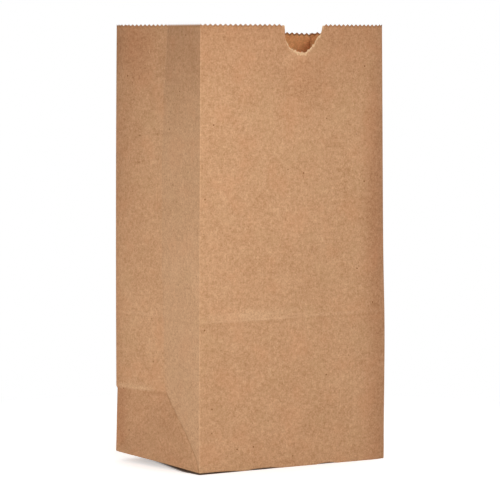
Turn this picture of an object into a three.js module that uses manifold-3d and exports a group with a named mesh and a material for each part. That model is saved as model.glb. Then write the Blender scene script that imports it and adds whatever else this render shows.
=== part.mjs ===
// A brown kraft paper lunch bag with a flat bottom, pleated sides and a thumb notch.
// The whole bag is one sheet: folded to a tube, lapped down the back and pasted shut below.
// Millimetres. Z is up, the notched front wall faces -Y, and the bag stands on z = 0.

import * as THREE from 'three';
import { mergeVertices } from 'three/addons/utils/BufferGeometryUtils.js';
import Module from 'manifold-3d';

const wasm = await Module();
wasm.setup();

// The bag as it is sold
const WIDTH = 127;
const DEPTH = 84.6;
const HEIGHT = 247.6;
const PAPER = 0.1;
const FLAP_OVERLAP = 14;
const SEAM_LAP = 13;

// The mouth: a knife-cut saw edge, with a thumb notch in the front wall
const TOOTH_PITCH = 3.175;
const TOOTH_DEPTH = 1.1;
const NOTCH_WIDTH = 27.3;
const NOTCH_DEPTH = 16;
const NOTCH_OFFSET = 3.3;
const NOTCH_TOOTH_PITCH = 1.6;
const NOTCH_TOOTH_DEPTH = 0.4;

// How this one stands: its pleats, its bowed front and its lifted corner
const APEX_TUCK = 5.5;
const LEFT_TUCK = 6.5;
const RIGHT_TUCK = 28;
const PLEAT_RELAX = 2.5;
const MOUTH_SHIFT = 0.8;
const MOUTH_SQUEEZE = 2;
const MOUTH_SAG = 4.8;
const FRONT_BOW = 4.6;
const BOW_RIDGE = 0.55;
const DENT_DEPTH = 1.4;
const DENT_INSET = 3;
const DENT_WIDTH = 9;
const DENT_HEIGHT = 18;
const DENT_DROP = 26;
const IMPRINT = 0.35;
const CORNER_LIFT = 4.6;
const LIFT_REACH = 84;
const SKEW = 1.2;

// How finely the paper is divided
const HALF_CELLS = 6;
const UPPER_ROWS = 14;
const TOP_ROW = 3;
const FLOOR_LAYERS = 5;

const HALF = DEPTH / 2;
const CELL = HALF / HALF_CELLS;
const FLAP_REACH = HALF + FLAP_OVERLAP / 2;
const SAME = 0.01;
const MERGE = 0.0001;
const TOOTH_CLEARANCE = 0.2;
const CUTTER_MARGIN = 5;

const sortedLines = (values) => {
  const sorted = [...values].sort((a, b) => a - b);
  return sorted.filter((value, i) => i === 0 || value - sorted[i - 1] > SAME);
};

// Fold lines run at 45 degrees from the bottom corners, so both floor axes share these steps
const cornerSteps = sortedLines([
  ...Array.from({ length: HALF_CELLS + 1 }, (_, i) => i * CELL),
  HALF - FLAP_OVERLAP / 2,
  FLAP_REACH,
]);
const seamStep = SEAM_LAP / 2 + PAPER;
const seamLines = [-seamStep, -SEAM_LAP / 2, 0, SEAM_LAP / 2, seamStep];
const acrossLines = sortedLines([
  ...cornerSteps,
  ...seamLines.map((offset) => WIDTH / 2 + offset),
  ...cornerSteps.map((step) => WIDTH - step),
]);
const deepLines = sortedLines([...cornerSteps, ...cornerSteps.map((step) => DEPTH - step)]);

// The four walls in turn round the bag, seen from above anticlockwise
const FRONT = 0;
const RIGHT = 1;
const BACK = 2;
const LEFT = 3;
const wallLength = [WIDTH, DEPTH, WIDTH, DEPTH];
const wallLines = [acrossLines, deepLines, acrossLines, deepLines];

const climb = (h) => THREE.MathUtils.clamp((h - HALF) / (HEIGHT - HALF), 0, 1);

// How far a side wall's centre crease is pushed in at a height
function tuck(wall, h) {
  if (h <= HALF) return (APEX_TUCK * h) / HALF;
  const u = climb(h);
  if (wall === RIGHT) return THREE.MathUtils.lerp(APEX_TUCK, RIGHT_TUCK, u);
  return THREE.MathUtils.lerp(APEX_TUCK, LEFT_TUCK, u) - PLEAT_RELAX * Math.sin(Math.PI * u);
}

// Pushing the pleat in draws the two edges of its wall together
const chord = (wall, h) => 2 * Math.sqrt(HALF ** 2 - tuck(wall, h) ** 2);

// The four upright edges at a height, each where its wall starts
function corners(h) {
  const u = climb(h);
  const frontLeft = new THREE.Vector2(-WIDTH / 2 + MOUTH_SHIFT * u, -HALF);
  const frontRight = new THREE.Vector2(WIDTH / 2 - MOUTH_SQUEEZE * u, -HALF);
  const backLeft = new THREE.Vector2(frontLeft.x, -HALF + chord(LEFT, h));
  const backY = -HALF + chord(RIGHT, h);
  const backX = backLeft.x + Math.sqrt(WIDTH ** 2 - (backLeft.y - backY) ** 2);
  return [frontLeft, frontRight, new THREE.Vector2(backX, backY), backLeft];
}

// The front wall bows out along a soft ridge, most at the mouth
function bow(t, h) {
  const side = t < BOW_RIDGE ? t / BOW_RIDGE : (1 - t) / (1 - BOW_RIDGE);
  return FRONT_BOW * (h / HEIGHT) * side * (1.5 - 0.5 * side ** 2);
}

// A soft dent under the left edge of the notch
function dent(s, h) {
  const middle = WIDTH / 2 + NOTCH_OFFSET - NOTCH_WIDTH / 2 + DENT_INSET;
  const across = (s - middle) / DENT_WIDTH;
  const up = (h - (HEIGHT - DENT_DROP)) / DENT_HEIGHT;
  return DENT_DEPTH * Math.exp(-(across ** 2) - up ** 2);
}

// The line that the folded-up bottom left across the walls
function imprint(wall, s, h) {
  const near = Math.min(1, s / CELL, (wallLength[wall] - s) / CELL);
  return IMPRINT * near * Math.max(0, 1 - Math.abs(h - DEPTH) / CELL);
}

// The pleat's depth fades from its centre crease to the upright edges and the 45 degree creases
function pleat(wall, s, h) {
  const fromEdge = Math.min(s, DEPTH - s);
  if (h > HALF) return (tuck(wall, h) * fromEdge) / HALF;
  return (APEX_TUCK * Math.min(h, fromEdge)) / HALF;
}

function bulge(wall, s, h) {
  const out = imprint(wall, s, h);
  if (wall === FRONT) return out + bow(s / WIDTH, h) - dent(s, h) * Math.min(1, s / CELL);
  if (wall === BACK) return out;
  return out - pleat(wall, s, h);
}

// One bottom corner, back left, doesn't touch the table
function lift(x, y) {
  return CORNER_LIFT * Math.max(0, 1 - (x + WIDTH / 2 + HALF - y) / LIFT_REACH);
}

// A point of the sheet: s along its wall, h up from the bottom fold
function wallPoint(wall, s, h) {
  const edges = corners(h);
  const start = edges[wall];
  const end = edges[(wall + 1) % 4];
  const along = end.clone().sub(start);
  const outward = new THREE.Vector2(along.y, -along.x).normalize();
  const plan = start.clone().addScaledVector(along, s / wallLength[wall]);
  const raised = lift(plan.x, plan.y) * Math.max(0, 1 - h / HALF);
  plan.addScaledVector(outward, bulge(wall, s, h));
  return new THREE.Vector3(plan.x, plan.y, h + raised);
}

// How far the mouth hangs below the front wall's edge
function sag(wall, t) {
  if (wall === RIGHT) return MOUTH_SAG * Math.min(1, 2 * t);
  if (wall === BACK) return MOUTH_SAG * (1 - t);
  return 0;
}

// The saw edge of one wall between two of its lines, both ends included
function toothedEdge(wall, from, to) {
  const length = wallLength[wall];
  const step = length / Math.round(length / TOOTH_PITCH) / 2;
  const places = [from];
  for (let k = Math.ceil(from / step); k * step < to; k += 1) {
    const place = k * step;
    const clear = Math.min(place - from, to - place) > TOOTH_CLEARANCE;
    if (clear) places.push(place);
  }
  places.push(to);
  return places.map((s) => {
    const phase = (s / step) % 2;
    const valley = TOOTH_DEPTH * (phase < 1 ? phase : 2 - phase);
    return wallPoint(wall, s, HEIGHT - sag(wall, s / length) - valley);
  });
}

// Heights of the straight rows below the saw edge
function rowHeights() {
  const top = HEIGHT - MOUTH_SAG - TOOTH_DEPTH - TOP_ROW;
  const lower = cornerSteps.filter((step) => step <= HALF + SAME);
  const middle = Array.from({ length: HALF_CELLS }, (_, i) => HALF + (i + 1) * CELL);
  const rise = (top - DEPTH) / UPPER_ROWS;
  const upper = Array.from({ length: UPPER_ROWS }, (_, i) => DEPTH + (i + 1) * rise);
  return [...lower, ...middle, ...upper];
}

const inLap = (wall, s) => wall === BACK && Math.abs(s - WIDTH / 2) < SEAM_LAP / 2 + SAME;

// The middle surface of the walls, with the points where the sheet's two edges lap
function wallSurface() {
  const columns = wallLines.flatMap((lines, wall) =>
    lines.slice(0, -1).map((s, i) => ({ wall, s, next: lines[i + 1] })),
  );
  const heights = rowHeights();
  const points = heights.flatMap((h) => columns.map(({ wall, s }) => wallPoint(wall, s, h)));
  const doubled = heights.flatMap(() => columns.map(({ wall, s }) => inLap(wall, s)));
  const triangles = [];
  const at = (row, column) => row * columns.length + (column % columns.length);
  for (let row = 0; row < heights.length - 1; row += 1) {
    columns.forEach(({ wall, s }, i) => {
      const [a, b, c, d] = [at(row, i), at(row, i + 1), at(row + 1, i + 1), at(row + 1, i)];
      const rising = s < wallLength[wall] / 2 - SAME;
      const pair = rising ? [[a, b, c], [a, c, d]] : [[a, b, d], [b, c, d]];
      triangles.push(...pair);
    });
  }
  const firstTop = points.length;
  addToothedRow({ points, triangles, doubled }, columns, (i) => at(heights.length - 1, i));
  return { points, triangles, doubled, levelRow: columns.length, firstTop };
}

// Each cell of the top row is a fan up to the teeth above it
function addToothedRow({ points, triangles, doubled }, columns, below) {
  const firstTop = points.length;
  const starts = [];
  columns.forEach(({ wall, s, next }) => {
    starts.push(points.length);
    const edge = toothedEdge(wall, s, next).slice(0, -1);
    points.push(...edge);
    doubled.push(...edge.map(() => inLap(wall, s) && inLap(wall, next)));
  });
  columns.forEach((column, i) => {
    const end = i + 1 < columns.length ? starts[i + 1] : points.length;
    const tops = Array.from({ length: end - starts[i] }, (_, k) => starts[i] + k);
    tops.push(i + 1 < columns.length ? end : firstTop);
    const [left, right] = [below(i), below(i + 1)];
    const middle = Math.floor(tops.length / 2);
    triangles.push([left, right, tops[middle]]);
    for (let k = 0; k + 1 < tops.length; k += 1) {
      const foot = k < middle ? left : right;
      triangles.push([foot, tops[k + 1], tops[k]]);
    }
  });
}

// For each point, the way out of the sheet, lengthened at folds so that the paper keeps its
// thickness, and level along the bottom fold and the mouth
function outwardAt({ points, triangles, levelRow, firstTop }) {
  const faces = points.map(() => []);
  triangles.forEach((corner) => {
    const [a, b, c] = corner.map((index) => points[index]);
    const normal = b.clone().sub(a).cross(c.clone().sub(a));
    corner.forEach((index) => faces[index].push(normal));
  });
  return faces.map((normals, index) => {
    const mean = normals.reduce((sum, n) => sum.add(n), new THREE.Vector3());
    if (index < levelRow || index >= firstTop) mean.z = 0;
    mean.normalize();
    const areas = normals.reduce((sum, n) => sum + n.length(), 0);
    const flat = normals.reduce((sum, n) => sum + n.dot(mean), 0) / areas;
    return mean.divideScalar(flat);
  });
}

// Two copies of a surface, one each side, closed round every open edge
function closedBetween(inner, outer, faces) {
  const count = inner.length;
  const open = new Map();
  faces.forEach(([a, b, c]) => {
    [[a, b], [b, c], [c, a]].forEach(([from, to]) => {
      if (!open.delete(`${to} ${from}`)) open.set(`${from} ${to}`, [from, to]);
    });
  });
  const index = faces.flatMap(([a, b, c]) => [a + count, b + count, c + count, c, b, a]);
  open.forEach(([from, to]) => {
    index.push(from, to, to + count, from, to + count, from + count);
  });
  const geometry = new THREE.BufferGeometry().setFromPoints([...inner, ...outer]);
  geometry.setIndex(index);
  return toSolid(geometry);
}

function toSolid(geometry) {
  geometry.deleteAttribute('normal');
  geometry.deleteAttribute('uv');
  const merged = mergeVertices(geometry, MERGE);
  return new wasm.Manifold(
    new wasm.Mesh({
      numProp: 3,
      vertProperties: new Float32Array(merged.getAttribute('position').array),
      triVerts: new Uint32Array(merged.index.array),
    }),
  );
}

// The four walls as paper with two sides, doubled outwards where it laps
function wallSheet() {
  const surface = wallSurface();
  const outward = outwardAt(surface);
  const shifted = (depth) =>
    surface.points.map((point, i) => point.clone().addScaledVector(outward[i], depth(i)));
  const inner = shifted(() => -PAPER / 2);
  const outer = shifted((i) => (surface.doubled[i] ? PAPER * 1.5 : PAPER / 2));
  return closedBetween(inner, outer, surface.triangles);
}

// The bottom, laid out as it is folded: two side flaps, four tucked ears, then the back flap
// and the front flap that laps it
const fromSides = (x) => Math.min(x, WIDTH - x);
const inFrontFlap = (x, y) => y < Math.min(fromSides(x), FLAP_REACH);
const inBackFlap = (x, y) => inFrontFlap(x, DEPTH - y);
const inSideFlap = (x) => fromSides(x) < FLAP_REACH;
const inSeam = (x) => Math.abs(x - WIDTH / 2) < SEAM_LAP / 2;

// Layers of paper above the front flap at a place on the bottom
function layersAbove(x, y) {
  const ears = inSideFlap(x) ? Number(inFrontFlap(x, y)) + Number(inBackFlap(x, y)) : 0;
  const back = inBackFlap(x, y) ? 1 + Number(inSeam(x)) : 0;
  return Number(inSideFlap(x)) + ears + back;
}

// Flat paper between two levels, over the part of the bottom that a test picks
function floorSheet(low, high, wanted) {
  const rows = deepLines.length;
  const at = (i, j) => i * rows + j;
  const chosen = [];
  for (let i = 0; i + 1 < acrossLines.length; i += 1) {
    for (let j = 0; j + 1 < rows; j += 1) {
      const [a, b, c, d] = [at(i, j), at(i + 1, j), at(i + 1, j + 1), at(i, j + 1)];
      const leftHalf = acrossLines[i] < WIDTH / 2 - SAME;
      const frontHalf = deepLines[j] < HALF - SAME;
      const pair = leftHalf === frontHalf ? [[a, b, c], [a, c, d]] : [[a, b, d], [b, c, d]];
      chosen.push(...pair);
    }
  }
  const place = (name) => [acrossLines[Math.floor(name / rows)], deepLines[name % rows]];
  const middle = (corner) =>
    [0, 1].map((axis) => corner.reduce((sum, name) => sum + place(name)[axis], 0) / 3);
  const used = chosen.filter((corner) => wanted(...middle(corner)));
  const names = [...new Set(used.flat())];
  const renumber = new Map(names.map((name, i) => [name, i]));
  const level = (z) =>
    names.map((name) => {
      const [x, y] = place(name);
      const [px, py] = [x - WIDTH / 2, y - HALF];
      return new THREE.Vector3(px, py, z + lift(px, py));
    });
  const faces = used.map((corner) => corner.map((name) => renumber.get(name)));
  return closedBetween(level(low), level(high), faces);
}

// The bag stands on its bottom folds, so the flaps start half a paper above the table
function bottomSheets() {
  const under = PAPER / 2;
  const sheets = [floorSheet(under, under + PAPER, inFrontFlap)];
  for (let layer = 1; layer <= FLOOR_LAYERS; layer += 1) {
    const top = under + PAPER * (layer + 1);
    sheets.push(floorSheet(top - PAPER * 1.5, top, (x, y) => layersAbove(x, y) >= layer));
  }
  return sheets;
}

// The notch outline from its left shoulder round to its right one, as a torn saw edge
function notchOutline() {
  const shape = new THREE.Path();
  const w = NOTCH_WIDTH;
  const d = NOTCH_DEPTH;
  shape.moveTo(-w / 2, 0);
  shape.lineTo(-0.48 * w, -0.31 * d);
  shape.quadraticCurveTo(-0.38 * w, -0.85 * d, -0.19 * w, -0.945 * d);
  shape.quadraticCurveTo(-0.06 * w, -1.02 * d, 0.04 * w, -d);
  shape.quadraticCurveTo(0.11 * w, -0.95 * d, 0.28 * w, -0.68 * d);
  shape.quadraticCurveTo(0.44 * w, -0.4 * d, w / 2, 0);
  const steps = 2 * Math.round(shape.getLength() / NOTCH_TOOTH_PITCH);
  const points = shape.getSpacedPoints(steps);
  return points.map((point, i) => {
    if (i === 0 || i === steps) return point;
    const along = points[i + 1].clone().sub(points[i - 1]).normalize();
    const into = new THREE.Vector2(-along.y, along.x);
    return point.clone().addScaledVector(into, (i % 2) * NOTCH_TOOTH_DEPTH);
  });
}

// The cutter for the notch, through the front wall only
function notchCutter() {
  const above = CUTTER_MARGIN;
  const before = FRONT_BOW + CUTTER_MARGIN;
  const behind = CUTTER_MARGIN;
  const outline = notchOutline();
  const last = outline[outline.length - 1];
  outline.push(new THREE.Vector2(last.x, above), new THREE.Vector2(outline[0].x, above));
  const options = { depth: before + behind, bevelEnabled: false };
  const geometry = new THREE.ExtrudeGeometry(new THREE.Shape(outline), options);
  geometry.rotateX(Math.PI / 2);
  geometry.translate(NOTCH_OFFSET, -HALF + behind, HEIGHT);
  return toSolid(geometry);
}

function bagSolid() {
  return bottomSheets()
    .reduce((bag, sheet) => bag.add(sheet), wallSheet())
    .subtract(notchCutter())
    .simplify(PAPER / 50);
}

function toGeometry(solid) {
  const { vertProperties, triVerts, numProp } = solid.getMesh();
  const geometry = new THREE.BufferGeometry();
  geometry.setAttribute('position', new THREE.BufferAttribute(vertProperties, numProp));
  geometry.setIndex(new THREE.BufferAttribute(triVerts, 1));
  return geometry;
}

// The whole bag leans in plan: its back wall stands further left than its front
function skewed(geometry) {
  const slope = SKEW / DEPTH;
  geometry.applyMatrix4(new THREE.Matrix4().makeShear(0, 0, -slope, 0, 0, 0));
  geometry.computeVertexNormals();
  return geometry;
}

const kraft = new THREE.MeshStandardMaterial({ color: 0xbe926d, roughness: 0.88, metalness: 0 });
const bag = new THREE.Mesh(skewed(toGeometry(bagSolid())), kraft);
bag.name = 'paper_bag';
const centre = new THREE.Box3().setFromObject(bag).getCenter(new THREE.Vector3());
bag.position.set(-centre.x, -centre.y, 0);

const lunchBag = new THREE.Group();
lunchBag.add(bag);

export default lunchBag;
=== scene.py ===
"""Looks for the kraft paper lunch bag: the folded sheet, its paper, soft studio light and camera."""
import math

import bpy
import numpy as np
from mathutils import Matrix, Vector


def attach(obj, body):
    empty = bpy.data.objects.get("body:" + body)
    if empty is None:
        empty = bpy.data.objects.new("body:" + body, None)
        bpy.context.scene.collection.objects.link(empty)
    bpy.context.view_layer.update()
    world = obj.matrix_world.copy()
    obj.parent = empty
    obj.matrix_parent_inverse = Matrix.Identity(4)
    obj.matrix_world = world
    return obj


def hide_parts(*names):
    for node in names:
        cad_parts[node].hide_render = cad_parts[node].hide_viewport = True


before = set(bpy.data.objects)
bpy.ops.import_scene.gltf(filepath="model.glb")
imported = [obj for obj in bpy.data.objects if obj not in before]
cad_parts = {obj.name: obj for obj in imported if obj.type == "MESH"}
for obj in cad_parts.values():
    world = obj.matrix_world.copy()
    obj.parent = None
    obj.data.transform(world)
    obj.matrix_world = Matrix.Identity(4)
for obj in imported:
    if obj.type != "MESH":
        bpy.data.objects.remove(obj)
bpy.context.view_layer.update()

# The bag's sizes in millimetres, as in the CAD part
WIDTH = 127.0
DEPTH = 84.6
HEIGHT = 247.6
PAPER = 0.12
FLAP_OVERLAP = 14.0
SEAM_LAP = 13.0
HALF = DEPTH / 2
FLAP_REACH = HALF + FLAP_OVERLAP / 2
SKEW = 1.2
CENTRING = (0.0, 2.121)
MM = 0.001

# The mouth and the thumb notch
TOOTH_PITCH = 3.175
TOOTH_DEPTH = 1.1
NOTCH_WIDTH = 27.3
NOTCH_DEPTH = 16.0
NOTCH_OFFSET = 3.3
NOTCH_TOOTH_PITCH = 2.2
NOTCH_TOOTH_DEPTH = 1.1
TEAR_MEAN = 0.7
TEAR_SPREAD = 0.5
TEAR_TURNS = (2.3, 0.9)

# How this bag stands
APEX_TUCK = 5.5
LEFT_TUCK = 6.5
RIGHT_TUCK = 28.0
PLEAT_RELAX = 2.5
MOUTH_SHIFT = 0.8
MOUTH_SQUEEZE = 2.0
MOUTH_SAG = 4.8
FRONT_BOW = 4.6
BOW_RIDGE = 0.55
DENT_DEPTH = 1.4
DENT_INSET = 3.0
DENT_WIDTH = 9.0
DENT_HEIGHT = 18.0
DENT_DROP = 26.0
CORNER_LIFT = 4.6
LIFT_REACH = 84.0

# Finer shape, which only the visual model has. Three numbers in one value are a height or
# depth, where its middle is and how far it reaches, all in mm.
FOLD_RADIUS = 0.55
CREASE_SOFTNESS = 0.35
BOTTOM_ROUNDING = 0.9
BOTTOM_INSET = 0.45
IMPRINT = 0.36
IMPRINT_REACH = 3.0
IMPRINT_LEAN = 0.5
IMPRINT_FADE = 5.0
EDGE_ROLL = 2.4
EDGE_ROLL_REACH = 4.5
FAR_BULGE = 1.5
FAR_BULGE_LOW = 0.25
DIAGONAL_BEND = 4.7
GROOVE = (0.42, 0.99, 1.1)
GROOVE_RISE = 8.0
PINCH = 0.9
PINCH_RISE = 1.3
PINCH_REACH = 7.0
SIDE_SWELL = (0.7, 75.0, 32.0)
DENT_FADE = 7.0
FLOOR_DOME = 0.9
FLOOR_DOME_POWER = 0.7
FRONT_GAPS = ((0.95, 4.0, 22.0), (0.8, 43.0, 9.5), (0.6, 86.0, 5.5))
LEFT_GAP = 0.95
LEFT_GAP_LENGTH = 62.0
GAP_FADE = 30.0
EDGE_REACH = 14.0
FLAP_WAVE = 0.08
FLAP_WAVE_TURNS = (0.13, 0.11)

# The paper's slow waves. In the table each has its share, its radians a millimetre along and
# up, and its phase.
COCKLE = 0.16
COCKLE_FADE = 9.0
COCKLE_RISE = 14.0
COCKLE_WAVES = (
    (1.0, 0.071, 0.031, 0.4),
    (0.8, -0.049, 0.063, 2.1),
    (0.7, 0.118, -0.022, 4.0),
    (0.5, 0.027, 0.127, 1.3),
    (0.4, 0.163, 0.094, 5.2),
)

# How finely the sheet is divided
FRONT_CELLS = 80
SIDE_CELLS = 54
LOWER_ROWS = 26
MIDDLE_ROWS = 60
TOP_ROWS = 20
TOP_BAND = 34.0
FLAP_COLUMNS = 48
FLAP_ROWS = 18
FOLD_STEPS = (0.18, 0.37, 0.55, 1.1)
RIM_STEPS = (0.25, 0.8, 1.5)
BOTTOM_STEPS = (0.3, 0.6, 0.95)
IMPRINT_ROWS = np.linspace(DEPTH - 3.2, DEPTH + 5.2, 13)
CENTRE_STEP = 0.45
LAP_STEP = 0.12
SHOULDER_STEP = 0.06
COLUMN_CLEAR = 0.3
COLUMN_GAP = 0.17
ROW_CLEAR = 0.4
SETTLE_POWER = 1.5
CURVE_POINTS = 40
LINE_POINTS = 20
RISING_STEP = 0.001
SHARP_ANGLE = 50
TINY = 1e-6

FRONT, RIGHT, BACK, LEFT = range(4)
LENGTHS = (WIDTH, DEPTH, WIDTH, DEPTH)
GIRTH = sum(LENGTHS)
STARTS = (0.0, WIDTH, WIDTH + DEPTH, 2 * WIDTH + DEPTH)

# Each bottom flap's wall, its level above the table in mm and whether its ends are cut back
FLAPS = ((FRONT, 0.10, True), (BACK, 0.24, True), (LEFT, 0.38, False), (RIGHT, 0.38, False))

# How many mm the folded-up bottom's imprint rises along each wall, in the walls' order
IMPRINT_SLANT = (1.2, 0.0, -0.6, -1.0)

# What the material is told of each point of the sheet
FACTS = ("pale", "groove", "painted_shade", "rim", "notch", "inner")

# Where the sheet is paler: worn pale along its creases, with painted highlight along and
# above the bottom's imprint and on the left wall's near half. A mark is its strength, the
# distance of its middle from the crease or edge that it follows and its width, in mm, or in
# PATCH_ALONG in shares of the wall's length. A span is where a mark starts and where it is full.
FOLD_RUB = (0.35, 0.0, 0.5)
BOTTOM_RUB = (0.50, 0.0, 0.8)
IMPRINT_HIGHLIGHT = (0.35, 0.0, 0.8)
PATCH_HIGHLIGHT = (0.75, 0.0, 0.8)
PATCH_HIGHLIGHT_SPREAD = (0.75, 2.6, 2.4)
PATCH_ALONG = (1.0, 0.28, 0.20)
SIDE_PATCH = 0.5
PLEAT_RUB = (0.35, 0.0, 0.6)
PLEAT_FOOT = 1.0
LEVEL_RUB = (0.95, 0.0, 0.8)
LEVEL_SPAN = (HALF - 8, HALF - 18)
DIAGONAL_RUB = (0.40, -0.9, 0.8)
STRIP_SPAN = (HALF + 0.5, HALF + 2)
STRIP_FOOT = 2.0
STRIP_HEIGHTS = (100, 140, 195, 230)
STRIP_HIGHLIGHT = (0.52, 0.36, 0.30, 0.0)

# Painted shade in the groove beside a crease and just below the bottom's imprint
IMPRINT_SHADE = (0.18, -1.3, 0.8)
DIAGONAL_SHADE = (0.60, 0.7, 0.75)
DIAGONAL_SHADE_TOP = HALF - 0.6
LEVEL_SHADE = (0.55, -1.4, 0.7)
LEVEL_SHADE_ALONG = (1.0, HALF - 6, 8.0)
FAR_SHADE = (0.35, 0.0, 0.7)
FAR_SHADE_UP = (1.0, 5.0, 7.0)

# Painted shade: where the paper is darker and redder by the upright folds, towards the mouth,
# below the notch, deep in the right pleat and on the left wall's far part and bottom facets
FRONT_TOP_SPAN = (HEIGHT - 46, HEIGHT)
FRONT_TOP_SHARES = (0.62, 0.20)
NOTCH_SHADE_ACROSS = (0.7, 4.0, 19.0)
NOTCH_SHADE_DOWN = (1.0, 27.0, 19.0)
FRONT_EDGE = (0.9, 6.0, 9.0)
FRONT_EDGE_EVEN = 0.8
FRONT_EDGE_UP = (0.5, 145.0, 45.0)
RIGHT_EDGE = (0.9, 0.0, 7.0)
RIGHT_INMOST = (1.0, 0.0, 14.0)
RIGHT_INMOST_SPAN = (170, 220)
BACK_EDGE = (0.6, 0.0, 6.0)
LEFT_EDGE = (0.5, 0.0, 5.0)
LEFT_UPPER = 0.60
LEFT_UPPER_ALONG = (32, 6)
LEFT_UPPER_UP = (95, 155)
LEFT_TOP_SHARES = (0.4, 0.6)
LEFT_TOP_ALONG = (36, 22)
LEFT_TOP_UP = (200, 228)
LEFT_BOTTOM = 0.42
FACET = (1.15, 0.0, 12.0)
FACET_FOOT = 6.0
FACET_LEAST = 0.5
LEVEL_CORNER = (1.2, 0.0, 6.0)
LEVEL_CORNER_DOWN = (1.0, 4.0, 4.5)

# Kraft paper, as linear colours
KRAFT_DEEP = (0.360, 0.172, 0.069, 1)
KRAFT_LIGHT = (0.694, 0.410, 0.233, 1)
KRAFT_RUSTY = (0.600, 0.290, 0.145, 1)
KRAFT_OLIVE = (0.505, 0.305, 0.150, 1)
FIBRE_PALE = (0.740, 0.480, 0.285, 1)
FLECK = (0.220, 0.085, 0.024, 1)
TORN = (0.820, 0.570, 0.330, 1)
CUT = (0.270, 0.110, 0.040, 1)

# What multiplies that colour: painted light on the inner side, for light through the thin paper,
# and painted shade in grooves and where the paper is darker and redder
INNER_PAINTED_LIGHT_TINT = (1.64, 1.50, 1.22, 1)
GROOVE_SHADE_TINT = (0.71, 0.64, 0.54, 1)
PAINTED_SHADE_TINT = (0.84, 0.75, 0.71, 1)

# The paper's pattern: each noise's cells a metre, its detail and its roughness. The inner side's
# pattern is the outer one's from INNER_SHIFT mm further along.
PATCHES = (34, 2.0, 0.55)
MOTTLE = (120, 2.0, 0.55)
CLOUDS = (430, 3.0, 0.65)
GRAIN = (1000, 2.0, 0.65)
HUES = (55, 2.0, 0.5)
TONE_WEIGHTS = (0.26, 0.38, 1.02, 1.08)
RUSTY_BAND = (0.50, 0.70)
RUSTY_SHARE = 0.26
OLIVE_BAND = (0.48, 0.30)
OLIVE_SHARE = 0.20
RUB_AND_HIGHLIGHT_BAND = (0.2, 0.6)
RUB_AND_HIGHLIGHT_SHARE = 0.45
INNER_SHIFT = 500

# Fibres: each set's cells a metre, its turn in radians and its width as a band of the noise.
# FIBRE_NOISE is the noise's detail, roughness and twist, and breaks have cells and detail.
PALE_FIBRES = ((620, 0.5, 0.018), (620, -0.7, 0.018), (620, 1.4, 0.018))
PALE_BREAKS = (420, 1.0)
PALE_BREAK_BAND = (0.46, 0.62)
DARK_FIBRES = ((540, 2.1, 0.012), (480, -1.2, 0.012))
DARK_BREAKS = (300, 1.0)
DARK_BREAK_BAND = (0.50, 0.64)
FIBRE_SHARE = 0.42
FIBRE_NOISE = (1.0, 0.4, 0.6)
FIBRE_STRETCH = (1.0, 0.22, 1.0)

# Dark flecks in some of the cells of a scattered pattern
FLECK_SCALE = 185.0
FLECK_EDGE = (0.120, 0.065)
FLECK_CHOICE = (0.60, 0.95)
FLECK_SHARE = 0.9

# The torn rim of the notch and the cut rim of the mouth, as distances from the edge in mm
TORN_BAND = (1.9, 0.6)
TORN_SHARE = 0.62
TORN_BY_GRAIN = 5.0
TORN_BY_CLOUDS = 6.0
SAW_BAND = (1.7, 0.3)
SAW_SHARE = 0.40
SAW_SHARE_INSIDE = 0.50

# The paper's small relief and how dull it is
CLOUD_RELIEF = (0.35, 0.00012)
GRAIN_RELIEF = (0.5, 0.00007)
WEB_RELIEF = 1.2
GRAIN_RANGE = (0.3, 0.7)
ROUGHNESS_RANGE = (0.80, 0.95)
SPECULAR = 0.2

# The floor, which is white to the camera with a painted shadow close under the bag, in metres
FLOOR_SIZE = 4.0
FLOOR_TONE = 0.8
FLOOR_GLOW = 0.42
FLOOR_FADE = (0.12, 0.34)
PAINTED_SHADOW_TONE = (0.34, 0.27, 0.22, 1)
UNDER_EDGE = (-0.001, 0.0003)
LIFTED_SLOPE = 3.55
LIFTED_EDGE = (0.075, 0.061)
WORLD_LIGHT = 0.23

# Each soft lamp's name, place and size in metres, and power in watts
LAMPS = (
    ("key_left", (-0.46, -0.44, 0.19), 0.36, 1.08),
    ("key_front", (-0.33, -0.58, 0.12), 0.36, 1.07),
    ("low_left", (-0.34, 0.00, 0.03), 0.18, 0.26),
    ("side_left", (-0.52, 0.30, 0.16), 0.30, 0.22),
    ("high_front", (0.02, -0.66, 0.70), 0.40, 2.50),
    ("back", (0.25, 0.75, 0.35), 0.50, 3.2),
    ("right", (0.75, 0.20, 0.30), 0.45, 2.0),
)

# The photograph's view, fitted to the bag's corners
CAMERA_LENS = 224.45
CAMERA_PLACE = (-1.00823, -1.45463, 0.23588)
CAMERA_YAW = 34.69
CAMERA_PITCH = 3.759
CAMERA_SENSOR = 36
CAMERA_CLIP = (0.01, 50)


def ramp(value, start, full):
    """0 up to start, 1 from full on and straight between; full may be the lower."""
    return np.clip((value - start) / (full - start), 0, 1)


def bell(distance, width):
    return np.exp(-((distance / width) ** 2))


def mark(kind, distance):
    """A mark's strength at a distance from what it follows."""
    strength, middle, width = kind
    return strength * bell(distance - middle, width)


def hump(x):
    """0 at 0 and at 1, and 1 a third of the way along."""
    return 27 / 4 * x * (1 - x) ** 2


def climb(h):
    return ramp(h, HALF, HEIGHT)


def smooth_abs(x, softness):
    return np.sqrt(x * x + softness * softness) - softness


def smooth_min(a, b, softness):
    return (a + b - np.sqrt((a - b) ** 2 + softness * softness)) / 2


def tuck(wall, h):
    """How far a side wall's centre crease is pushed in at a height."""
    u = climb(h)
    if wall == RIGHT:
        upper = APEX_TUCK + (RIGHT_TUCK - APEX_TUCK) * u
    else:
        upper = APEX_TUCK + (LEFT_TUCK - APEX_TUCK) * u - PLEAT_RELAX * np.sin(np.pi * u)
    return np.where(h <= HALF, APEX_TUCK * h / HALF, upper)


def chord(wall, h):
    return 2 * np.sqrt(HALF**2 - tuck(wall, h) ** 2)


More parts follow.
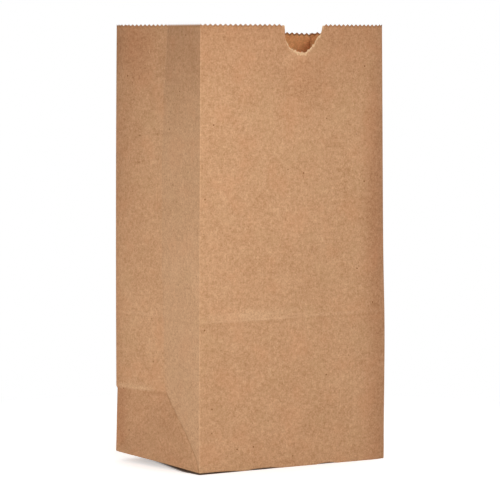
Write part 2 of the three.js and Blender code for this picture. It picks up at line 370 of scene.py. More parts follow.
def pinch(h):
    """The far left edge steps in where the bottom's crease ends on it."""
    return PINCH * ramp(h, HALF, HALF - PINCH_RISE) * np.sqrt(ramp(h, 0, HALF))


def diagonal(h):
    """How far the near 45 degree crease strays from its straight line."""
    return DIAGONAL_BEND * hump(ramp(h, 0, HALF))


def below_diagonal(s, h):
    """How far a place on a side wall is below its near 45 degree crease."""
    return DEPTH - s + diagonal(h) - h


def corners(h):
    """The four upright edges at a height, each where its wall starts."""
    u = climb(h)
    fl = np.stack([-WIDTH / 2 + MOUTH_SHIFT * u, np.full_like(h, -HALF)], -1)
    right = WIDTH / 2 - MOUTH_SQUEEZE * u + mark(SIDE_SWELL, h)
    fr = np.stack([right, np.full_like(h, -HALF)], -1)
    bl = np.stack([fl[..., 0] + pinch(h), -HALF + chord(LEFT, h)], -1)
    back_y = -HALF + chord(RIGHT, h)
    back_x = fl[..., 0] + np.sqrt(WIDTH**2 - (bl[..., 1] - back_y) ** 2)
    return [fl, fr, np.stack([back_x, back_y], -1), bl]


def bow(t, h):
    """The front wall bows out along a soft ridge, most at the mouth."""
    side = np.where(t < BOW_RIDGE, t / BOW_RIDGE, (1 - t) / (1 - BOW_RIDGE))
    return FRONT_BOW * (h / HEIGHT) * side * (1.5 - 0.5 * side**2)


def dent(s, h):
    middle = WIDTH / 2 + NOTCH_OFFSET - NOTCH_WIDTH / 2 + DENT_INSET
    across = (s - middle) / DENT_WIDTH
    up = (h - (HEIGHT - DENT_DROP)) / DENT_HEIGHT
    return DENT_DEPTH * np.exp(-(across**2) - up**2)


def imprint_level(wall, s):
    """The height of the folded-up bottom's imprint, which isn't quite level."""
    return DEPTH + IMPRINT_SLANT[wall] * (s / LENGTHS[wall] - 0.5)


def imprint(wall, s, h):
    """The line that the folded-up bottom left across the walls."""
    near = ramp(np.minimum(s, LENGTHS[wall] - s), 0, IMPRINT_FADE)
    above = (h - imprint_level(wall, s)) / IMPRINT_REACH
    return IMPRINT * near * np.exp(-(above**2)) * (1 + IMPRINT_LEAN * above)


def pleat(wall, s, h):
    """The pleat's depth fades from its centre crease to the edges and the 45 degree creases."""
    from_edge = HALF - smooth_abs(s - HALF, CREASE_SOFTNESS)
    share = np.clip((s - HALF) / np.maximum(HALF - h, 1), 0, 1)
    bent = h - diagonal(h) * share
    lower = APEX_TUCK * smooth_min(bent, from_edge, CREASE_SOFTNESS) / HALF
    upper = tuck(wall, h) * from_edge / HALF
    return np.where(h > HALF, upper, lower)


def cockle(wall, s, h):
    """Slow waves in the paper, which die out towards the folds."""
    u = STARTS[wall] + s
    total = sum(a * np.sin(ku * u + kh * h + phase) for a, ku, kh, phase in COCKLE_WAVES)
    near = ramp(np.minimum(s, LENGTHS[wall] - s), 0, COCKLE_FADE)
    return COCKLE * total * near * ramp(h, 0, COCKLE_RISE)


def left_shape(s, h):
    """The left wall's far half swells, its far edge is pinched and its 45 degree crease grooved."""
    far = hump(ramp(s, 0, HALF)) * ramp(h, HALF, 2 * HALF)
    out = FAR_BULGE * far * (FAR_BULGE_LOW + (1 - FAR_BULGE_LOW) * climb(h))
    out = out + pinch(h) * (1 - s / DEPTH - np.exp(-s / PINCH_REACH))
    groove = mark(GROOVE, below_diagonal(s, h)) * (s > HALF) * (h < HALF)
    return out - groove * ramp(h, 0, GROOVE_RISE)


def bulge(wall, s, h):
    """How far the sheet stands out from the plane between its wall's two upright edges."""
    out = imprint(wall, s, h) + cockle(wall, s, h)
    out = out - BOTTOM_INSET * ramp(h, BOTTOM_ROUNDING, 0) ** 2
    if wall == FRONT:
        roll = EDGE_ROLL * (1 - np.exp(-(WIDTH - s) / EDGE_ROLL_REACH)) * (s / WIDTH) ** 2
        return out + bow(s / WIDTH, h) - dent(s, h) * ramp(s, 0, DENT_FADE) + roll
    if wall == BACK:
        return out
    if wall == LEFT:
        out = out + left_shape(s, h)
    return out - pleat(wall, s, h)


def corner_lift(x, y):
    """One bottom corner, back left, doesn't touch the table."""
    return CORNER_LIFT * ramp(x + WIDTH / 2 + HALF - y, LIFT_REACH, 0)


def edge_lift(x, y):
    """The front and left bottom folds ride a little above the table between contacts."""
    s, t = x + WIDTH / 2, y + HALF
    rise = sum(
        height * np.exp(-(((s - middle) / half) ** 4)) for height, middle, half in FRONT_GAPS
    )
    front = rise * ramp(t, EDGE_REACH, 0)
    side = LEFT_GAP * np.exp(-((t / LEFT_GAP_LENGTH) ** 4)) * ramp(s, EDGE_REACH, 0)
    return np.maximum(front, side)


def wall_point(wall, s, h):
    """A point of the sheet: s along its wall, h up from the bottom fold."""
    edges = corners(h)
    start = edges[wall]
    end = edges[(wall + 1) % 4]
    along = end - start
    size = np.linalg.norm(along, axis=-1, keepdims=True)
    outward = np.stack([along[..., 1], -along[..., 0]], -1) / size
    plan = start + along * (s / LENGTHS[wall])[..., None]
    raised = corner_lift(plan[..., 0], plan[..., 1]) * ramp(h, HALF, 0)
    raised = raised + edge_lift(plan[..., 0], plan[..., 1]) * ramp(h, GAP_FADE, 0)
    plan = plan + outward * bulge(wall, s, h)[..., None]
    return np.concatenate([plan, (h + raised)[..., None]], -1)


def folded_point(wall, s, h):
    """The same, with the upright folds rounded."""
    point = wall_point(wall, s, h)
    length = LENGTHS[wall]
    for fold, before, after in (
        (0.0, (wall - 1) % 4, wall),
        (length, wall, (wall + 1) % 4),
    ):
        step = (s - fold) / FOLD_RADIUS
        inside = np.abs(step) < 1
        t = (np.clip(step, -1, 1) + 1)[..., None] / 2
        a = wall_point(before, np.full_like(s, LENGTHS[before] - FOLD_RADIUS), h)
        c = wall_point(after, np.zeros_like(s), h)
        b = wall_point(after, np.full_like(s, FOLD_RADIUS), h)
        rounded = (1 - t) ** 2 * a + 2 * t * (1 - t) * c + t**2 * b
        point = np.where(inside[..., None], rounded, point)
    return point


def bezier(p, q, r, count):
    t = np.linspace(0, 1, count)[:, None]
    p, q, r = (np.array(v, float) for v in (p, q, r))
    return (1 - t) ** 2 * p + 2 * t * (1 - t) * q + t**2 * r


# The notch from its left shoulder to its right one, as shares of its width and depth: a line
# and then four curves, each with a control point between its ends
NOTCH_KNOTS = (
    (-0.5, 0.0), (-0.48, -0.31), (-0.38, -0.85), (-0.19, -0.945), (-0.06, -1.02),
    (0.04, -1.0), (0.11, -0.95), (0.28, -0.68), (0.44, -0.4), (0.5, 0.0),
)


def notch_profile():
    """The notch outline as x from its middle and depth below the mouth, left to right."""
    knots = np.array(NOTCH_KNOTS)
    curves = [bezier(*knots[k : k + 3], CURVE_POINTS)[1:] for k in range(1, len(knots) - 2, 2)]
    path = np.concatenate([np.linspace(knots[0], knots[1], LINE_POINTS), *curves])
    path = path * (NOTCH_WIDTH, NOTCH_DEPTH)
    length = np.concatenate([[0], np.cumsum(np.linalg.norm(np.diff(path, axis=0), axis=1))])
    steps = 2 * round(length[-1] / NOTCH_TOOTH_PITCH)
    places = np.linspace(0, length[-1], steps + 1)
    even = np.stack([np.interp(places, length, path[:, k]) for k in (0, 1)], -1)
    along = np.gradient(even, axis=0)
    along /= np.linalg.norm(along, axis=1, keepdims=True)
    into = np.stack([-along[:, 1], along[:, 0]], -1)
    wave = np.sin(places * TEAR_TURNS[0]) * np.sin(places * TEAR_TURNS[1] + 1)
    uneven = TEAR_MEAN + TEAR_SPREAD * wave
    even = even + into * (np.arange(steps + 1) % 2 * NOTCH_TOOTH_DEPTH * uneven)[:, None]
    even[0] = path[0]
    even[-1] = path[-1]
    # mouth_height looks depths up by x, so x has to rise from tooth to tooth
    rising = np.arange(steps + 1) * RISING_STEP
    even[:, 0] = np.maximum.accumulate(even[:, 0] + rising)
    return even


NOTCH = notch_profile()
NOTCH_MIDDLE = WIDTH / 2 + NOTCH_OFFSET


def mouth_height(wall, s):
    """Where the saw-cut or torn edge is at a place along a wall."""
    length = LENGTHS[wall]
    sag = {
        FRONT: 0 * s,
        RIGHT: MOUTH_SAG * np.minimum(1, 2 * s / length),
        BACK: MOUTH_SAG * (1 - s / length),
        LEFT: 0 * s,
    }[wall]
    step = length / round(length / TOOTH_PITCH) / 2
    phase = (s / step) % 2
    height = HEIGHT - sag - TOOTH_DEPTH * (1 - np.abs(1 - phase))
    if wall == FRONT:
        x = s - NOTCH_MIDDLE
        depth = np.interp(x, NOTCH[:, 0], NOTCH[:, 1])
        inside = (x >= NOTCH[0, 0] - TINY) & (x <= NOTCH[-1, 0])
        height = np.where(inside, np.minimum(HEIGHT + depth, height), height)
    return height


def wall_columns(wall):
    """The places along a wall where the sheet has columns, without its far end."""
    length = LENGTHS[wall]
    cells = SIDE_CELLS if wall in (LEFT, RIGHT) else FRONT_CELLS
    tooth = length / round(length / TOOTH_PITCH) / 2
    places = [k * length / cells for k in range(cells)]
    places += [k * tooth for k in range(round(length / tooth))]
    places += list(FOLD_STEPS) + [length - step for step in FOLD_STEPS]
    keep = []
    if wall in (LEFT, RIGHT):
        places += [HALF - CENTRE_STEP, HALF + CENTRE_STEP]
    if wall == BACK:
        middle = length / 2
        ends = (SEAM_LAP / 2, SEAM_LAP / 2 + LAP_STEP)
        keep = [middle + side * end for side in (-1, 1) for end in ends]
    if wall == FRONT:
        keep = [NOTCH_MIDDLE + x for x in NOTCH[:, 0]]
        keep.insert(0, keep[0] - SHOULDER_STEP)
        inside = (keep[0] - COLUMN_CLEAR, keep[-1] + COLUMN_CLEAR)
        places = [s for s in places if not inside[0] < s < inside[1]]
    places = [s for s in places if min([abs(s - k) for k in keep], default=1) > COLUMN_CLEAR]
    thinned = []
    for s in sorted(places):
        if not thinned or s - thinned[-1] > COLUMN_GAP:
            thinned.append(s)
    return sorted(thinned + keep)


def row_heights():
    lower = [*(np.arange(LOWER_ROWS + 1) * HALF / LOWER_ROWS), *BOTTOM_STEPS]
    middle = np.linspace(HALF, HEIGHT - TOP_BAND, MIDDLE_ROWS + 1)[1:]
    clear = (middle < IMPRINT_ROWS[0] - ROW_CLEAR) | (middle > IMPRINT_ROWS[-1] + ROW_CLEAR)
    return np.sort(np.concatenate([lower, middle[clear], IMPRINT_ROWS]))


def sheet_grid():
    """Heights, places and walls of every point of the walls, as rows by columns."""
    columns = [wall_columns(w) for w in range(4)]
    wall = np.concatenate([np.full(len(c), w) for w, c in enumerate(columns)])
    place = np.concatenate(columns)
    top = np.concatenate([mouth_height(w, np.array(c)) for w, c in enumerate(columns)])
    even = place.copy()
    reach = NOTCH_WIDTH / 2 + SHOULDER_STEP + TINY
    notch = (wall == FRONT) & (np.abs(place - NOTCH_MIDDLE) <= reach)
    even[notch] = np.linspace(place[notch][0], place[notch][-1], notch.sum())
    start = HEIGHT - TOP_BAND
    share = np.linspace(0, 1, TOP_ROWS + 1)[1:-1]
    rows = [np.full(len(place), h) for h in row_heights()]
    rows += [start + k * (top - RIM_STEPS[-1] - start) for k in share]
    rows += [top - drop for drop in (*RIM_STEPS[::-1], 0.0)]
    height = np.array(rows)
    settled = ramp(height, start, top) ** SETTLE_POWER
    return height, even + (place - even) * settled, wall, top, notch


def wear_and_painted_highlight(wall, s, h):
    """1 where a fold is worn pale, falling to 0 beside it, and where highlight is painted along the
    imprint and on the left wall's near half.
    """
    length = LENGTHS[wall]
    above = h - imprint_level(wall, s)
    side = wall in (LEFT, RIGHT)
    patch = SIDE_PATCH * (s > HALF) if side else mark(PATCH_ALONG, s / length)
    worn = [
        mark(FOLD_RUB, np.minimum(s, length - s)),
        mark(BOTTOM_RUB, h),
        # Painted highlight: a pale line and band along and above the bottom's imprint, in patches
        mark(IMPRINT_HIGHLIGHT, above) + mark(PATCH_HIGHLIGHT, above) * patch,
        mark(PATCH_HIGHLIGHT_SPREAD, above) * patch,
    ]
    if wall == LEFT:
        # Painted light: the left wall's near half above its 45 degree crease is lighter, most at
        # middle heights
        strip = ramp(s, *STRIP_SPAN) * ramp(h + s, DEPTH, DEPTH + STRIP_FOOT)
        worn.append(strip * np.interp(h, STRIP_HEIGHTS, STRIP_HIGHLIGHT))
    if side:
        worn.append(mark(PLEAT_RUB, s - HALF) * (h > HALF - PLEAT_FOOT))
        worn.append(mark(LEVEL_RUB, h - HALF) * ramp(s, *LEVEL_SPAN))
        worn.append(mark(DIAGONAL_RUB, below_diagonal(s, h)) * (s > HALF) * (h < HALF))
    return np.max([np.broadcast_to(w, h.shape) for w in worn], axis=0)


def groove_shade(wall, s, h):
    """1 in the groove beside a crease and just below the imprint, where shade is painted."""
    dark = [mark(IMPRINT_SHADE, h - imprint_level(wall, s))]
    if wall in (LEFT, RIGHT):
        near = (s > HALF) * (h < DIAGONAL_SHADE_TOP)
        dark.append(mark(DIAGONAL_SHADE, below_diagonal(s, h)) * near)
        dark.append(mark(LEVEL_SHADE, h - HALF) * mark(LEVEL_SHADE_ALONG, s) * (s <= HALF))
        dark.append(mark(FAR_SHADE, s - h) * mark(FAR_SHADE_UP, h))
    return np.max([np.broadcast_to(d, h.shape) for d in dark], axis=0)


def left_painted_shade(s, h):
    """Painted shade: the left wall is darker towards its far edge, at the top and in the bottom's
    facets.
    """
    least, more = LEFT_TOP_SHARES
    below = (h < HALF) * (below_diagonal(s, h) > 0)
    marks = [
        mark(LEFT_EDGE, s),
        LEFT_UPPER * ramp(s, *LEFT_UPPER_ALONG) * ramp(h, *LEFT_UPPER_UP),
        (least + more * ramp(s, *LEFT_TOP_ALONG)) * ramp(h, *LEFT_TOP_UP),
        LEFT_BOTTOM * below,
        mark(FACET, s) * (h < HALF) * np.clip(h / FACET_FOOT, FACET_LEAST, 1),
        mark(LEVEL_CORNER, s) * mark(LEVEL_CORNER_DOWN, HALF - h),
    ]
    return np.max(marks, axis=0)


def painted_shade(wall, s, h):
    """1 where shade is painted, darker and redder: by folds, at the mouth, below the notch, in the
    pleat.
    """
    if wall == LEFT:
        return left_painted_shade(s, h)
    if wall == BACK:
        return mark(BACK_EDGE, WIDTH - s)
    if wall == RIGHT:
        inmost = mark(RIGHT_INMOST, s - HALF) * ramp(h, *RIGHT_INMOST_SPAN)
        return np.maximum(mark(RIGHT_EDGE, s), inmost)
    least, more = FRONT_TOP_SHARES
    top = ramp(h, *FRONT_TOP_SPAN) * (least + more * s / WIDTH)
    # Painted shade below the notch, where the paper is dented
    notch_shade = mark(NOTCH_SHADE_ACROSS, s - NOTCH_MIDDLE) * mark(NOTCH_SHADE_DOWN, HEIGHT - h)
    edge = mark(FRONT_EDGE, WIDTH - s) * (FRONT_EDGE_EVEN + mark(FRONT_EDGE_UP, h))
    return np.max([edge, top, notch_shade], axis=0)


def tube_faces(rows, cols, rising):
    """Two triangles a cell round the whole tube, split along the pleats' 45 degree creases."""
    a = np.arange(rows - 1)[:, None] * cols + np.arange(cols)[None]
    b = np.arange(rows - 1)[:, None] * cols + (np.arange(cols)[None] + 1) % cols
    c, d = b + cols, a + cols
    rising = np.broadcast_to(rising, a.shape)[..., None]
    first = np.where(rising, np.stack([a, b, c], -1), np.stack([a, b, d], -1))
    second = np.where(rising, np.stack([a, c, d], -1), np.stack([b, c, d], -1))
    return np.concatenate([first.reshape(-1, 3), second.reshape(-1, 3)])


def flat_place(wall, s):
    """How far along the flat sheet a place of a wall is, with the sheet cut at the lap."""
    return (np.array(STARTS)[wall] + s - (WIDTH + DEPTH + WIDTH / 2)) % GIRTH


def walls_mesh():
    """Two skins of the four walls, closed round the bottom and the mouth."""
    height, place, wall, top, in_notch = sheet_grid()
    rows, cols = height.shape
    middle = np.zeros((rows, cols, 3))
    facts = np.zeros((rows, cols, len(FACTS) - 1))
    for w in range(4):
        pick = wall == w
        s, h = place[:, pick], height[:, pick]
        middle[:, pick] = folded_point(w, s, h)
        facts[:, pick, 0] = wear_and_painted_highlight(w, s, h)
        facts[:, pick, 1] = groove_shade(w, s, h)
        facts[:, pick, 2] = painted_shade(w, s, h)
    facts[..., 3] = top - height
    facts[:, in_notch, 4] = 1
    s = place[0]
    lap = (wall == BACK) & (np.abs(s - WIDTH / 2) <= SEAM_LAP / 2 + TINY)
    faces = tube_faces(rows, cols, s < np.array(LENGTHS)[wall] / 2 - TINY)
    points = middle.reshape(-1, 3)
    normal = vertex_normals(points, faces)
    extra = np.where(np.broadcast_to(lap, height.shape), PAPER, 0).reshape(-1, 1)
    outer = points + normal * (PAPER / 2 + extra)
    inner = points - normal * PAPER / 2
    uv = np.stack([flat_place(wall, place), height + FLAP_REACH], -1).reshape(-1, 2)
    facts = facts.reshape(-1, facts.shape[-1])
    open_rows = (np.arange(cols), (rows - 1) * cols + np.arange(cols))
    return closed_skins(outer, inner, faces, uv, facts, open_rows)


def vertex_normals(points, faces):
    p, q, r = (points[faces[:, k]] for k in range(3))
    face_normal = np.cross(q - p, r - p)
    normal = np.zeros_like(points)
    for k in range(3):
        np.add.at(normal, faces[:, k], face_normal)
    return normal / np.linalg.norm(normal, axis=1, keepdims=True)


def closed_skins(outer, inner, faces, uv, facts, loops):
    """Joins two skins round closed loops of points: the first loop runs on, the others back."""
    count = len(outer)
    parts = [faces, faces[:, ::-1] + count]
    for number, loop in enumerate(loops):
        ahead = np.roll(loop, -1)
        if number == 0:
            parts.append(np.stack([loop + count, ahead + count, ahead], -1))
            parts.append(np.stack([loop + count, ahead, loop], -1))
        else:
            parts.append(np.stack([loop, ahead, ahead + count], -1))
            parts.append(np.stack([loop, ahead + count, loop + count], -1))
    points = np.concatenate([outer, inner])
    inside = np.concatenate([np.zeros(count), np.ones(count)])
    facts = np.concatenate([facts, facts])
    uv = np.concatenate([uv, uv])
    return points, np.concatenate(parts), uv, np.column_stack([facts, inside])


def floor_height(x, y):
    """The bottom lifts off the table towards its middle."""
    dome = FLOOR_DOME * np.sin(np.pi * ramp(x, -WIDTH / 2, WIDTH / 2)) ** FLOOR_DOME_POWER
    dome = dome * np.sin(np.pi * ramp(y, -HALF, HALF)) ** FLOOR_DOME_POWER
    return dome + corner_lift(x, y) + edge_lift(x, y)


def flap_mesh(wall, level, cut_back):
    """One bottom flap: a grid from its wall's fold inwards, its ends cut back at 45 degrees."""
    length = LENGTHS[wall]
    across = np.linspace(0, 1, FLAP_COLUMNS + 1)
    deep = np.linspace(0, 1, FLAP_ROWS + 1)
    v, u = np.meshgrid(deep * FLAP_REACH, across, indexing="ij")
    start = np.maximum(v, BOTTOM_INSET) if cut_back else np.full_like(v, BOTTOM_INSET)
    s = start + u * (length - 2 * start)
    v = np.maximum(v, BOTTOM_INSET)
    x, y = {
        FRONT: (s - WIDTH / 2, v - HALF),
        RIGHT: (WIDTH / 2 - v, s - HALF),
        BACK: (WIDTH / 2 - s, HALF - v),
        LEFT: (v - WIDTH / 2, HALF - s),
    }[wall]
    wave = np.sin(x * FLAP_WAVE_TURNS[0] + wall) * np.sin(y * FLAP_WAVE_TURNS[1] + 2 * wall)
    z = floor_height(x, y) + level + FLAP_WAVE * wave * (v / FLAP_REACH)
    points = np.stack([x, y, z], -1).reshape(-1, 3)
    faces, border = flap_faces(*v.shape)
    normal = vertex_normals(points, faces)
    outer, inner = points + normal * PAPER / 2, points - normal * PAPER / 2
    uv = np.stack([flat_place(wall, s), FLAP_REACH - v], -1).reshape(-1, 2)
    to_cut = FLAP_REACH - v
    if cut_back:
        to_cut = np.minimum(to_cut, np.minimum(s - v, length - v - s))
    none = np.zeros_like(v)
    facts = [mark(BOTTOM_RUB, v), none, none, np.maximum(to_cut, 0), none]
    facts = np.stack([fact.ravel() for fact in facts], -1)
    return closed_skins(outer, inner, faces, uv, facts, [border])


def flap_faces(rows, cols):
    """The faces of a flap's grid and the loop of points round it."""
    a = np.arange(rows - 1)[:, None] * cols + np.arange(cols - 1)[None]
    b, c, d = a + 1, a + cols + 1, a + cols
    faces = np.concatenate(
        [np.stack([a, c, b], -1).reshape(-1, 3), np.stack([a, d, c], -1).reshape(-1, 3)]
    )
    index = np.arange(rows * cols).reshape(rows, cols)
    sides = [index[0, :-1], index[:-1, -1], index[-1, :0:-1], index[:0:-1, 0]]
    return faces, np.concatenate(sides)[::-1]


def corner_places(uv, faces, facts):
    """Each face corner's place on the flat sheet, whole across the lap and shifted inside."""
    places = uv[faces]
    along = places[..., 0]
    crossing = along.max(axis=1, keepdims=True) - along > GIRTH / 2
    inside = facts[faces][..., -1].min(axis=1, keepdims=True)
    places[..., 0] = along + GIRTH * crossing + INNER_SHIFT * inside
    return places.reshape(-1, 2)


def make_piece(name, parts):
    """One object from several closed meshes, with its sheet coordinates and facts."""
    points, faces, uv, facts = [], [], [], []
    count = 0
    for p, f, t, k in parts:
        points.append(p)
        faces.append(f + count)
        uv.append(t)
        facts.append(k)
        count += len(p)
    points, faces, uv, facts = (np.concatenate(v) for v in (points, faces, uv, facts))
    points[:, 0] -= SKEW / DEPTH * points[:, 1]
    points[:, 2] = np.maximum(points[:, 2], 0)
    points = (points + np.array([*CENTRING, 0])) * MM
    mesh = bpy.data.meshes.new(name)
    mesh.from_pydata(points.tolist(), [], faces.tolist())
    layer = mesh.uv_layers.new(name="sheet")
    layer.data.foreach_set("uv", (corner_places(uv, faces, facts) * MM).ravel())
    for column, label in enumerate(FACTS):
        attribute = mesh.attributes.new(label, "FLOAT", "POINT")
        attribute.data.foreach_set("value", facts[:, column].astype(np.float32))
    mesh.polygons.foreach_set("use_smooth", np.ones(len(faces), bool))
    mesh.validate()
    mesh.set_sharp_from_angle(angle=math.radians(SHARP_ANGLE))
    mesh.update()
    obj = bpy.data.objects.new(name, mesh)
    bpy.context.scene.collection.objects.link(obj)
    return obj


class Nodes:
    """Short calls for building a node tree."""

    def __init__(self, tree):
        self.tree = tree
        tree.nodes.clear()

    def add(self, kind, **settings):
        node = self.tree.nodes.new(kind)
        inputs = settings.pop("inputs", {})
        for key, value in settings.items():
            setattr(node, key, value)
        for key, value in inputs.items():
            if isinstance(value, bpy.types.NodeSocket):
                self.tree.links.new(value, node.inputs[key])
            else:
                node.inputs[key].default_value = value
        return node

    def math(self, operation, a, b=0.0, c=0.0):
        return self.add("ShaderNodeMath", operation=operation, inputs={0: a, 1: b, 2: c}).outputs[0]

    def band(self, value, low, high):
        """0 below low and 1 above high, soft between; low may be the larger."""
        node = self.add(
            "ShaderNodeMapRange",
            interpolation_type="SMOOTHSTEP",
            inputs={"Value": value, "From Min": low, "From Max": high},
        )
        return node.outputs["Result"]

    def mix(self, amount, a, b, blend="MIX"):
        node = self.add("ShaderNodeMix", data_type="RGBA", blend_type=blend)
        for socket, value in ((node.inputs[0], amount), (node.inputs[6], a), (node.inputs[7], b)):
            if isinstance(value, bpy.types.NodeSocket):
                self.tree.links.new(value, socket)
            else:
                socket.default_value = value
        return node.outputs[2]

    def fact(self, name):
        return self.add("ShaderNodeAttribute", attribute_name=name).outputs["Fac"]

    def noise(self, vector, scale, detail=2.0, rough=0.5, twist=0.0, stretch=None, turn=0.0):
        if stretch or turn:
            vector = self.add(
                "ShaderNodeMapping",
                inputs={"Vector": vector, "Rotation": (0, 0, turn), "Scale": stretch or (1, 1, 1)},
            ).outputs[0]
        node = self.add(
            "ShaderNodeTexNoise",
            inputs={
                "Vector": vector,
                "Scale": scale,
                "Detail": detail,
                "Roughness": rough,
                "Distortion": twist,
            },
        )
        return node.outputs["Fac"]


def fibres(n, sheet, sets, breaks, band):
    """Thin crossing lines, each where a stretched noise passes its middle value, with breaks."""
    lines = None
    for scale, turn, width in sets:
        value = n.noise(sheet, scale, *FIBRE_NOISE, FIBRE_STRETCH, turn)
        middle = n.math("ABSOLUTE", n.math("SUBTRACT", value, 0.5))
        line = n.band(middle, width, 0.0)
        lines = n.math("MAXIMUM", lines, line) if lines else line
    broken = n.band(n.noise(sheet, *breaks), *band)
    return n.math("MULTIPLY", n.math("MULTIPLY", lines, broken), FIBRE_SHARE)


def kraft_brown(n, sheet, clouds, grain):
    """Brown that varies from wide patches down to the grain, rustier and more olive in places."""
    noises = (n.noise(sheet, *PATCHES), n.noise(sheet, *MOTTLE), clouds, grain)
    tone = 0.5
    for noise, weight in zip(noises, TONE_WEIGHTS):
        tone = n.math("MULTIPLY_ADD", n.math("SUBTRACT", noise, 0.5), weight, tone)
    colour = n.mix(n.math("MINIMUM", n.math("MAXIMUM", tone, 0.0), 1.0), KRAFT_DEEP, KRAFT_LIGHT)
    hue = n.noise(sheet, *HUES)
    rusty = n.math("MULTIPLY", n.band(hue, *RUSTY_BAND), RUSTY_SHARE)
    olive = n.math("MULTIPLY", n.band(hue, *OLIVE_BAND), OLIVE_SHARE)
    return n.mix(olive, n.mix(rusty, colour, KRAFT_RUSTY), KRAFT_OLIVE)


def flecks(n, sheet):
    """Small dark specks of bark, in some cells of a scattered pattern."""
    cell = n.add("ShaderNodeTexVoronoi", inputs={"Vector": sheet, "Scale": FLECK_SCALE})
    cell_tone = n.add("ShaderNodeSeparateColor", inputs={0: cell.outputs["Color"]})
    spot = n.band(cell.outputs["Distance"], *FLECK_EDGE)
    chosen = n.band(cell_tone.outputs[0], *FLECK_CHOICE)
    return n.math("MULTIPLY", n.math("MULTIPLY", spot, chosen), FLECK_SHARE)


def relief(n, height, size, **below):
    """A bump of a strength and a height in metres, on top of another where one is given."""
    strength, distance = size
    inputs = {"Height": height, "Strength": strength, "Distance": distance, **below}
    return n.add("ShaderNodeBump", inputs=inputs).outputs[0]


def kraft_material():
    """Kraft paper, laid out on the flat sheet and marked by what each point is told."""
    material = bpy.data.materials.new("kraft_paper")
    material.use_nodes = True
    n = Nodes(material.node_tree)
    sheet = n.add("ShaderNodeUVMap", uv_map="sheet").outputs[0]
    clouds = n.noise(sheet, *CLOUDS)
    grain = n.noise(sheet, *GRAIN)
    web = fibres(n, sheet, PALE_FIBRES, PALE_BREAKS, PALE_BREAK_BAND)
    dark = fibres(n, sheet, DARK_FIBRES, DARK_BREAKS, DARK_BREAK_BAND)

    colour = n.mix(web, kraft_brown(n, sheet, clouds, grain), FIBRE_PALE)
    colour = n.mix(flecks(n, sheet), n.mix(dark, colour, CUT), FLECK)
    # Paler where folds are worn, and painted highlight along the imprint and on the left wall's near
    # half
    rub_and_highlight = n.math("MULTIPLY", n.fact("pale"), n.band(grain, *RUB_AND_HIGHLIGHT_BAND))
    colour = n.mix(n.math("MULTIPLY", rub_and_highlight, RUB_AND_HIGHLIGHT_SHARE), colour, FIBRE_PALE)
    # Painted shade in grooves and by the folds, and painted light on the inner side, multiply the
    # colour
    for fact, tint in (("groove", GROOVE_SHADE_TINT), ("painted_shade", PAINTED_SHADE_TINT), ("inner", INNER_PAINTED_LIGHT_TINT)):
        colour = n.mix(n.fact(fact), colour, tint, "MULTIPLY")

    fine = n.math("ADD", grain, n.math("MULTIPLY", web, WEB_RELIEF))
    dull = {"Value": grain}
    dull["From Min"], dull["From Max"] = GRAIN_RANGE
    dull["To Min"], dull["To Max"] = ROUGHNESS_RANGE
    shader = n.add(
        "ShaderNodeBsdfPrincipled",
        inputs={
            "Base Color": edge_colour(n, colour, grain, clouds),
            "Roughness": n.add("ShaderNodeMapRange", inputs=dull).outputs["Result"],
            "Normal": relief(n, fine, GRAIN_RELIEF, Normal=relief(n, clouds, CLOUD_RELIEF)),
            "Specular IOR Level": SPECULAR,
        },
    )
    n.add("ShaderNodeOutputMaterial", inputs={"Surface": shader.outputs[0]})
    return material


def edge_colour(n, colour, grain, clouds):
    """The saw-cut mouth is darker at its teeth; the notch's rim is torn, pale and uneven."""
    rim, notch = n.fact("rim"), n.fact("notch")
    ragged = n.math("MULTIPLY_ADD", n.math("SUBTRACT", grain, 0.5), TORN_BY_GRAIN, rim)
    ragged = n.math("MULTIPLY_ADD", n.math("SUBTRACT", clouds, 0.5), TORN_BY_CLOUDS, ragged)
    torn = n.math("MULTIPLY", n.band(ragged, *TORN_BAND), notch)
    colour = n.mix(n.math("MULTIPLY", torn, TORN_SHARE), colour, TORN)
    amount = n.math("MULTIPLY_ADD", n.fact("inner"), SAW_SHARE_INSIDE, SAW_SHARE)
    saw = n.math("MULTIPLY", n.band(rim, *SAW_BAND), n.math("SUBTRACT", 1.0, notch))
    return n.mix(n.math("MULTIPLY", saw, amount), colour, CUT)


def background_rays(n):
    """1 for the rays that should meet the white background."""
    path = n.add("ShaderNodeLightPath")
    seen = n.math("MAXIMUM", path.outputs["Is Camera Ray"], path.outputs["Is Glossy Ray"])
    return n.math("MAXIMUM", seen, path.outputs["Is Transmission Ray"])


def open_ground(n, place):
    """0 where a shadow is painted on the floor close under the bag, and 1 beside it and under its
    lifted corner.
    """
    part = n.add("ShaderNodeSeparateXYZ", inputs={0: place})
    y = n.math("SUBTRACT", part.outputs[1], CENTRING[1] * MM)
    x = n.math("MULTIPLY_ADD", y, SKEW / DEPTH, part.outputs[0])
    beside = n.math("SUBTRACT", n.math("ABSOLUTE", x), WIDTH / 2 * MM)
    before = n.math("SUBTRACT", n.math("ABSOLUTE", y), HALF * MM)
    outside = n.band(n.math("MAXIMUM", beside, before), *UNDER_EDGE)
    from_left = n.math("ADD", x, WIDTH / 2 * MM)
    from_back = n.math("SUBTRACT", HALF * MM, y)
    slanting = n.math("MULTIPLY_ADD", from_left, LIFTED_SLOPE, from_back)
    lifted = n.band(slanting, *LIFTED_EDGE)
    return n.math("MAXIMUM", outside, lifted)


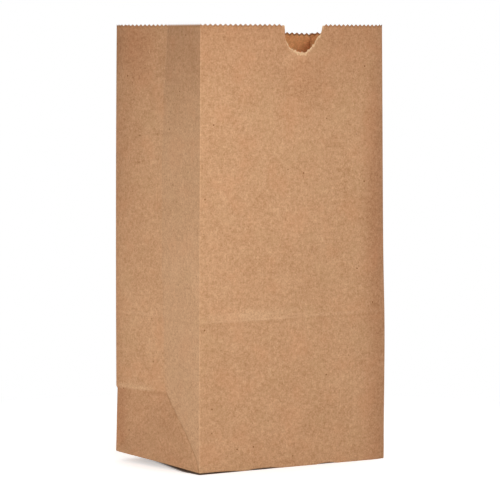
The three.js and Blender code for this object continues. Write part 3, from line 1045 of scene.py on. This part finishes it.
def floor_material():
    """Plain and pale to the light; to the camera white, darker where the bag shades it, with a
    painted shadow close under it.
    """
    material = bpy.data.materials.new("floor_white")
    material.use_nodes = True
    n = Nodes(material.node_tree)
    place = n.add("ShaderNodeTexCoord").outputs["Object"]
    ground = open_ground(n, place)
    away = n.add("ShaderNodeVectorMath", operation="LENGTH", inputs={0: place}).outputs["Value"]
    plain = n.add("ShaderNodeBsdfDiffuse", inputs={"Color": (FLOOR_TONE,) * 3 + (1,)})
    # Painted shadow: close under the bag the floor's colour to the camera is dark, and it has no
    # glow there
    tone = n.mix(ground, PAINTED_SHADOW_TONE, (1, 1, 1, 1))
    shown = n.add("ShaderNodeBsdfDiffuse", inputs={"Color": tone})
    strength = n.math("MULTIPLY", ground, FLOOR_GLOW)
    glow = n.add("ShaderNodeEmission", inputs={"Strength": strength})
    white = n.add("ShaderNodeEmission", inputs={"Strength": 1.0})
    lit = n.add("ShaderNodeAddShader", inputs={0: shown.outputs[0], 1: glow.outputs[0]})
    near = n.add(
        "ShaderNodeMixShader",
        inputs={0: n.band(away, *FLOOR_FADE), 1: lit.outputs[0], 2: white.outputs[0]},
    )
    mixed = n.add(
        "ShaderNodeMixShader",
        inputs={0: background_rays(n), 1: plain.outputs[0], 2: near.outputs[0]},
    )
    n.add("ShaderNodeOutputMaterial", inputs={"Surface": mixed.outputs[0]})
    return material


def add_floor():
    mesh = bpy.data.meshes.new("floor")
    size = FLOOR_SIZE
    ring = [(-size, -size, 0), (size, -size, 0), (size, size, 0), (-size, size, 0)]
    mesh.from_pydata(ring, [], [(0, 1, 2, 3)])
    mesh.materials.append(floor_material())
    floor = bpy.data.objects.new("floor", mesh)
    bpy.context.scene.collection.objects.link(floor)


def add_world():
    world = bpy.data.worlds.new("studio")
    bpy.context.scene.world = world
    world.use_nodes = True
    n = Nodes(world.node_tree)
    strength = n.add(
        "ShaderNodeMapRange",
        inputs={"Value": background_rays(n), "To Min": WORLD_LIGHT, "To Max": 1.0},
    )
    sky = n.add("ShaderNodeBackground", inputs={"Strength": strength.outputs["Result"]})
    sky.inputs["Color"].default_value = (1, 1, 1, 1)
    n.add("ShaderNodeOutputWorld", inputs={"Surface": sky.outputs[0]})


def add_softbox(name, place, size, power):
    """A square area light that faces the bag's middle."""
    light = bpy.data.lights.new(name, "AREA")
    light.shape = "SQUARE"
    light.size = size
    light.energy = power
    lamp = bpy.data.objects.new(name, light)
    bpy.context.scene.collection.objects.link(lamp)
    lamp.location = place
    aim = Vector((0, 0, HEIGHT / 2 * MM)) - Vector(place)
    lamp.rotation_euler = aim.to_track_quat("-Z", "Y").to_euler()


def add_camera():
    camera = bpy.data.cameras.new("camera")
    camera.sensor_width = CAMERA_SENSOR
    camera.lens = CAMERA_LENS
    camera.clip_start, camera.clip_end = CAMERA_CLIP
    eye = bpy.data.objects.new("camera", camera)
    eye.location = CAMERA_PLACE
    eye.rotation_euler = (math.radians(90 - CAMERA_PITCH), 0, -math.radians(CAMERA_YAW))
    bpy.context.scene.collection.objects.link(eye)
    bpy.context.scene.camera = eye


add_camera()
add_floor()
add_world()
for lamp in LAMPS:
    add_softbox(*lamp)

bag = make_piece("paper_sheet", [walls_mesh(), *(flap_mesh(*flap) for flap in FLAPS)])
bag.data.materials.append(kraft_material())
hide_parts("paper_bag")
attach(bag, "root")

bpy.context.scene.view_settings.view_transform = "Standard"
